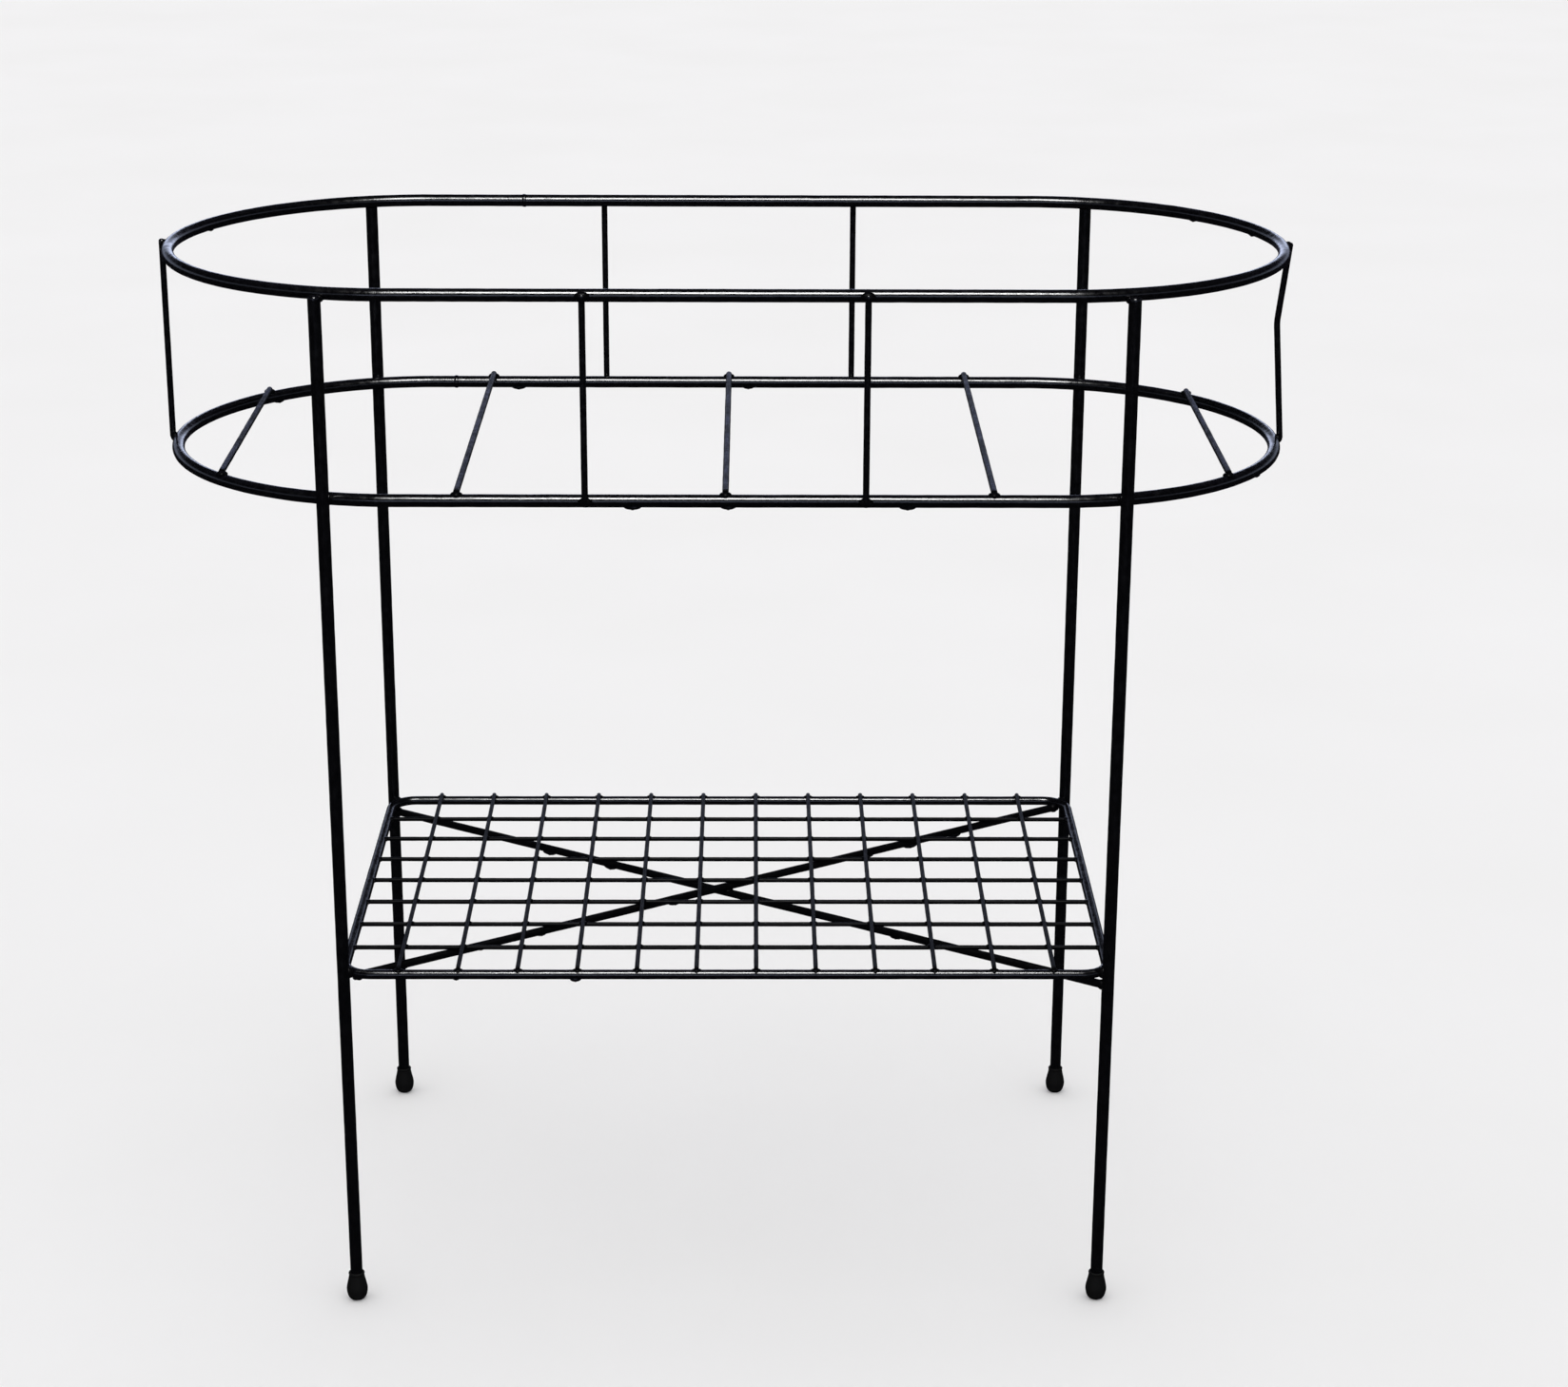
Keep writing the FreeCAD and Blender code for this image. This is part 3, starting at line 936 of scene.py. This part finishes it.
@dataclass
class Welds:
    """Weld beads at every joint, brushed over with enamel, and the paint's webs and runs."""

    rings: Rings
    legs: Legs
    tray: Tray
    shelf: Shelf
    seed: float = 50.0
    # How far a full bead reaches past its rod; each kind of joint has a share of that.
    reach: float = 1.9
    leg_turn: float = 15.0
    leg_reach: float = 0.35
    leg_lower: Triple = (1.0, 0.9, 0.95)
    leg_upper: Triple = (1.0, 0.9, 0.55)
    leg_upper_drop: float = 0.62
    spindle_reach: float = 0.7
    spindle_side: Triple = (1.5, 1.0, 1.0)
    bar_spread: Triple = (1.05, 0.95, 0.55)
    bar_shift: float = 0.6
    bar_pinch: float = 0.14
    bar_depth: float = 0.4
    shelf_reach: float = 0.5
    crossing_height: float = 0.8
    web_on_wire: Triple = (3.9, 3.9, 1.8)
    web_on_rail: Triple = (4.0, 3.9, 1.5)
    web_at_end: Triple = (3.2, 4.2, 1.8)
    web_sink: float = 0.3
    web_sides: int = 16
    web_pinch: float = 0.22
    web_depth: float = 0.3
    # Half the usual length of a run under a ring, a brace and the rail.
    run_halves: Triple = (6.5, 6.0, 4.0)
    # A run's film and drop: the share of its length, half the width, half the height and the rise.
    run_film: Row = (1.0, 2.5, 2.3, 0.4)
    run_drop: Row = (0.4, 1.7, 2.5, 0.2)
    run_depth: float = 0.7
    # A run's size: its mean, its swing and how fast it swings along the table.
    run_size: Triple = (0.85, 0.3, 0.37)
    upper_runs: tuple[Pair, ...] = ((-402.0, 78.5), (369.0, 125.5), (407.0, 67.0))
    lower_runs: tuple[Pair, ...] = (
        (-363.0, 131.5), (-173.0, 180.0), (16.0, 180.0), (-67.0, -180.0), (2.0, -180.0), (131.0, -180.0),
        (396.0, -90.0),
    )
    upper_brace_runs: Row = (-246.0, -190.0, -145.0, -42.0, 116.0, 152.0, 190.0)
    lower_brace_runs: Row = (-202.0, -150.0, -98.0, 132.0)
    rail_runs: Row = (-204.0, -114.0)
    seams: Pair = (-165.0, -224.0)
    seam_half: float = 4.2
    seam_swell: float = 0.55
    seam_depth: float = 0.5

    def leg_lumps(self) -> list[Lump]:
        """Beads where the legs meet the rings.

        Returns:
            A lower and an upper bead for each leg, the upper one no higher than the leg's own top.
        """
        out = self.rings.bend + self.rings.rod.half
        turn = math.radians(self.leg_turn)
        half = self.legs.rod.half + self.reach * self.leg_reach
        upper_z = self.rings.upper_z - half * self.leg_upper_drop
        lumps = []
        for corner in Corner:
            side_x, side_y = corner.value
            x = side_x * (self.rings.half_straight + out * math.sin(turn))
            y = side_y * out * math.cos(turn)
            for z, shares in ((self.rings.lower_z, self.leg_lower), (upper_z, self.leg_upper)):
                lumps.append(Lump(Vector((x, y, z)), spread_of(half, shares), -side_x * side_y * turn))
        return lumps

    def spindle_lumps(self) -> list[Lump]:
        """Beads where the spindles meet the rings.

        Returns:
            A lower and an upper bead for each spindle, longer along the rings' straight sides.
        """
        half = self.tray.spindle.half + self.reach * self.spindle_reach
        out = self.rings.bend + self.rings.rod.half
        side_bead, end_bead = spread_of(half, self.spindle_side), spread_of(half)
        spots = [(c.value[0] * self.tray.side_x, c.value[1] * out, side_bead) for c in Corner]
        spots += [(side * (self.rings.half_straight + out), 0.0, end_bead) for side in (-1, 1)]
        heights = (self.rings.lower_z, self.rings.upper_z)
        return [Lump(Vector((x, y, z)), spread) for x, y, spread in spots for z in heights]

    def bar_lumps(self) -> list[Lump]:
        """Beads where the tray bars lie on the lower ring.

        Returns:
            A bead at each end of each bar.
        """
        top = self.rings.lower_z + self.rings.rod.half
        spread = spread_of(self.tray.bar.half + self.reach, self.bar_spread)
        out = self.tray.bar_overhang * self.bar_shift
        places = self.tray.bar_places()
        return [Lump(Vector((x, s * (w + out), top)), spread) for x, w in places for s in (-1, 1)]

    def shelf_lumps(self) -> list[Lump]:
        """Beads of the shelf.

        Returns:
            Those that join each shelf corner and brace end to its leg, and the one where the braces cross.
        """
        shelf, half = self.shelf, self.legs.rod.half
        rail, brace = (spread_of(rod.half + self.reach * self.shelf_reach) for rod in (shelf.rail, shelf.brace))
        lumps = []
        for corner in Corner:
            side_x, side_y = corner.value
            axis = Vector((side_x * self.legs.x, side_y * self.legs.y, 0))
            inward = Vector((-side_x, -side_y, 0)).normalized()
            on_rail = side_x == side_y
            z, clear = (shelf.upper_brace_z, shelf.leg_to_rail) if on_rail else (shelf.lower_brace_z, 0.0)
            lumps.append(Lump(axis + inward * half + Vector((0, 0, shelf.z)), rail))
            lumps.append(Lump(axis - axis.normalized() * (half + clear) + Vector((0, 0, z)), brace))
        flat = Vector((brace.x, brace.y, self.reach * self.crossing_height))
        lumps.append(Lump(Vector((0, 0, shelf.upper_brace_z - shelf.brace.half)), flat))
        return lumps

    def mesh_webs(self) -> list[Lump]:
        """Small webs of paint in the mesh.

        Returns:
            A web where two wires cross, where a cross wire lies on a rail and where a long wire ends.
        """
        shelf = self.shelf
        rails = [s * shelf.half_width for s in (-1, 1)]
        ends = [s * (shelf.half_length - shelf.rail.half) for s in (-1, 1)]
        rows = (
            (shelf.cross_places, shelf.long_places, shelf.long_z + shelf.wire.half / 2, self.web_on_wire),
            (shelf.cross_places, rails, shelf.z + shelf.rail.half - self.web_sink, self.web_on_rail),
            (ends, shelf.long_places, shelf.long_z, self.web_at_end),
        )
        return [Lump(Vector((x, y, z)), Vector(size)) for xs, ys, z, size in rows for x in xs for y in ys]

    def paint_runs(self) -> list[Lump]:
        """Runs of enamel that dried under the rings, the braces and the front rail.

        Returns:
            Each run's sagging film and the drop in its middle, larger or smaller from place to place.
        """
        shelf, rings = self.shelf, self.rings
        ring_half, brace_half, rail_half = self.run_halves
        spots: list[Row] = []
        for z, places in ((rings.upper_z, self.upper_runs), (rings.lower_z, self.lower_runs)):
            for x, y in places:
                past = max(abs(x) - rings.half_straight, 0) * math.copysign(1, x)
                spots.append((x, y, z - rings.rod.half, math.atan2(y, past) - math.pi / 2, ring_half))
        lean = self.legs.y / self.legs.x
        for slope, z, xs in (
            (lean, shelf.upper_brace_z, self.upper_brace_runs), (-lean, shelf.lower_brace_z, self.lower_brace_runs)
        ):
            spots += [(x, x * slope, z - shelf.brace.half, math.atan(slope), brace_half) for x in xs]
        spots += [(x, -shelf.half_width, shelf.z - shelf.rail.half, 0.0, rail_half) for x in self.rail_runs]
        mean, swing, pace = self.run_size
        lumps = []
        for x, y, z, heading, half in spots:
            size = mean + swing * math.sin(x * pace + y)
            for share, width, height, rise in (self.run_film, self.run_drop):
                spread = Vector((half * share, width, height)) * size
                lumps.append(Lump(Vector((x, y, z + rise)), spread, heading))
        return lumps

    def ring_seams(self) -> list[Lump]:
        """The butt welds that close the two rings at the back.

        Returns:
            One swelling on each ring.
        """
        thick = self.rings.rod.half + self.seam_swell
        swell = Vector((self.seam_half, thick, thick))
        heights = (self.rings.upper_z, self.rings.lower_z)
        return [Lump(Vector((x, self.rings.bend, z)), swell) for x, z in zip(self.seams, heights)]

    def build(self, beads: BeadTool, dull_coat: Material) -> None:
        """Make the beads, webs, runs and seams.

        Args:
            beads: The tool that makes lumps.
            dull_coat: The duller enamel on welds and mesh.
        """
        dull = {"coat": dull_coat}
        bar = {"pinch": self.bar_pinch, "depth": self.bar_depth}
        web = {"sides": self.web_sides, "pinch": self.web_pinch, "depth": self.web_depth}
        kinds = (
            ("leg_weld_beads", ["leg_welds"], self.leg_lumps(), dull),
            ("spindle_weld_beads", ["spindle_welds"], self.spindle_lumps(), dull),
            ("tray_bar_weld_beads", ["tray_bar_welds"], self.bar_lumps(), dull | bar),
            ("shelf_weld_beads", ["shelf_welds"], self.shelf_lumps(), dull),
            ("mesh_paint_webs", [], self.mesh_webs(), dull | web),
            ("paint_runs", [], self.paint_runs(), {"depth": self.run_depth}),
            ("ring_seam_welds", [], self.ring_seams(), {"depth": self.seam_depth}),
        )
        for number, (name, nodes, spots, shape) in enumerate(kinds):
            beads.lumps(name, nodes, spots, self.seed + number, **shape)


@dataclass
class Studio:
    """Pale floor, soft light and the camera at the photograph's viewing angle."""

    picture_px: float = 1648.0
    focal_px: float = 3416.2
    sensor: float = 36.0
    place: Triple = (18.96, -2432.74, 1282.97)
    yaw: float = 0.010516
    pitch: float = -0.33456
    roll: float = 0.004374
    sight: float = 200000.0
    floor_reach: float = 30000.0
    aim: Triple = (0.0, 0.0, 750.0)
    ceiling: str = "#fffefe"
    ceiling_place: Triple = (0.0, 0.0, 4000.0)
    ceiling_power: float = 3.06
    softbox: float = 1000.0
    softbox_place: Triple = (0.0, -1620.0, 2860.0)
    softbox_power: float = 115.0
    wall: str = "#d3ddfb"
    shade: str = "#1c1c22"
    # The rise of a direction where the wall begins to fade and where it has faded.
    wall_band: Pair = (0.15, 0.28)
    # How squarely a direction faces the wall where that begins to brighten and where it is brightest.
    wall_facing: Pair = (0.925, 0.975)
    wall_strength: float = 2.4
    side_share: float = 0.22

    def build(self) -> None:
        """Set the camera, the floor, the lights and the room."""
        self.camera()
        self.floor()
        self.lights()
        self.room()
        bpy.context.scene.view_settings.view_transform = "Standard"

    def camera(self) -> None:
        """Add the camera and look through it."""
        lens = bpy.data.cameras.new("camera")
        lens.sensor_fit = "HORIZONTAL"
        lens.sensor_width = self.sensor
        lens.lens = self.sensor * self.focal_px / self.picture_px
        lens.clip_end = self.sight * MM
        eye = new_object("camera", lens)
        turn = Matrix.Rotation(-self.yaw, 4, "Z") @ Matrix.Rotation(math.pi / 2 + self.pitch, 4, "X")
        turn = turn @ Matrix.Rotation(self.roll, 4, "Z")
        eye.matrix_world = Matrix.Translation(Vector(self.place) * MM) @ turn
        bpy.context.scene.camera = eye

    def floor(self) -> None:
        """Lay a wide pale floor."""
        half = self.floor_reach * MM
        corners = [(-half, -half, 0), (half, -half, 0), (half, half, 0), (-half, half, 0)]
        mesh = bpy.data.meshes.new("studio_floor")
        mesh.from_pydata(corners, [], [(0, 1, 2, 3)])
        mesh.materials.append(StudioFloor().material())
        floor = new_object("studio_floor", mesh)
        floor.visible_glossy = False

    def lights(self) -> None:
        """Light the floor evenly from above and hang a softbox that shows only as gloss."""
        sun = {"energy": self.ceiling_power, "angle": math.pi, "color": linear(self.ceiling)[:3]}
        box = {"energy": self.softbox_power, "size": self.softbox * MM}
        for name, kind, place, settings, unseen in (
            ("soft_ceiling_light", "SUN", self.ceiling_place, sun, "visible_glossy"),
            ("front_softbox", "AREA", self.softbox_place, box, "visible_diffuse"),
        ):
            light = bpy.data.lights.new(name, kind)
            for key, value in settings.items():
                setattr(light, key, value)
            lamp = new_object(name, light)
            lamp.location = Vector(place) * MM
            lamp.rotation_euler = (Vector(self.aim) - Vector(place)).to_track_quat("-Z", "Y").to_euler()
            setattr(lamp, unseen, False)

    def room(self) -> None:
        """Put a dim room round the table, with a pale wall low down that is brightest ahead and behind."""
        world = bpy.data.worlds.new("pale_walled_room")
        world.use_nodes = True
        tree = world.node_tree
        direction = add_node(tree, "ShaderNodeTexCoord").outputs["Generated"]
        way = add_node(tree, "ShaderNodeSeparateXYZ", {0: direction}).outputs
        across = add_node(tree, "ShaderNodeMath", {0: way["Y"]}, operation="ABSOLUTE")
        side_strength = self.side_share * self.wall_strength
        fade, strength = (
            add_node(
                tree, "ShaderNodeMapRange", dict(enumerate((value, *source, *target))),
                interpolation_type="SMOOTHSTEP",
            )
            for value, source, target in (
                (way["Z"], self.wall_band, (0.0, 1.0)),
                (across, self.wall_facing, (side_strength, self.wall_strength)),
            )
        )
        over = add_node(tree, "ShaderNodeMath", {0: way["Z"], 1: 0.0}, operation="GREATER_THAN")
        wall, shade = linear(self.wall), linear(self.shade)
        above = add_node(tree, "ShaderNodeMix", {0: fade, 6: wall, 7: shade}, data_type="RGBA").outputs[2]
        lit = add_node(tree, "ShaderNodeMix", {0: over, 6: shade, 7: above}, data_type="RGBA").outputs[2]
        sky = tree.nodes["Background"].inputs
        tree.links.new(lit, sky["Color"])
        tree.links.new(strength.outputs[0], sky["Strength"])
        bpy.context.scene.world = world


def main() -> None:
    """Build every sub-assembly in order and log each piece's faces and CAD nodes."""
    logging.basicConfig(level=logging.INFO, format="%(name)s %(message)s")
    enamel = BrushedEnamel().material()
    # Dull enamel over wire, brace and weld: with little gloss they read as plain black.
    dull_coat = BrushedEnamel("black_dull_enamel", dust_and_sheen_share=0.05, gloss=(0.3, 0.46), shine=0.05).material()
    # Enamel on the bars, which lie open to the top: a bluish grey film on a dull coat, partly dust and partly a
    # painted reflection of the sky on their tops.
    bar_coat = BrushedEnamel(
        "black_bar_enamel_dust_and_sheen", dust="#62688c", dust_and_sheen_share=0.42, gloss=(0.34, 0.52), shine=0.03
    ).material()
    rubber = MouldedRubber().material()
    rods = RodTool(enamel)
    beads = BeadTool(enamel)
    Studio().build()
    rings, legs = Rings(), Legs()
    tray, shelf = Tray(rings), Shelf(legs)
    rings.build(rods)
    legs.build(rods, rubber)
    tray.build(rods, bar_coat)
    shelf.build(rods, dull_coat)
    Welds(rings, legs, tray, shelf).build(beads, dull_coat)


if __name__ == "__main__":
    main()
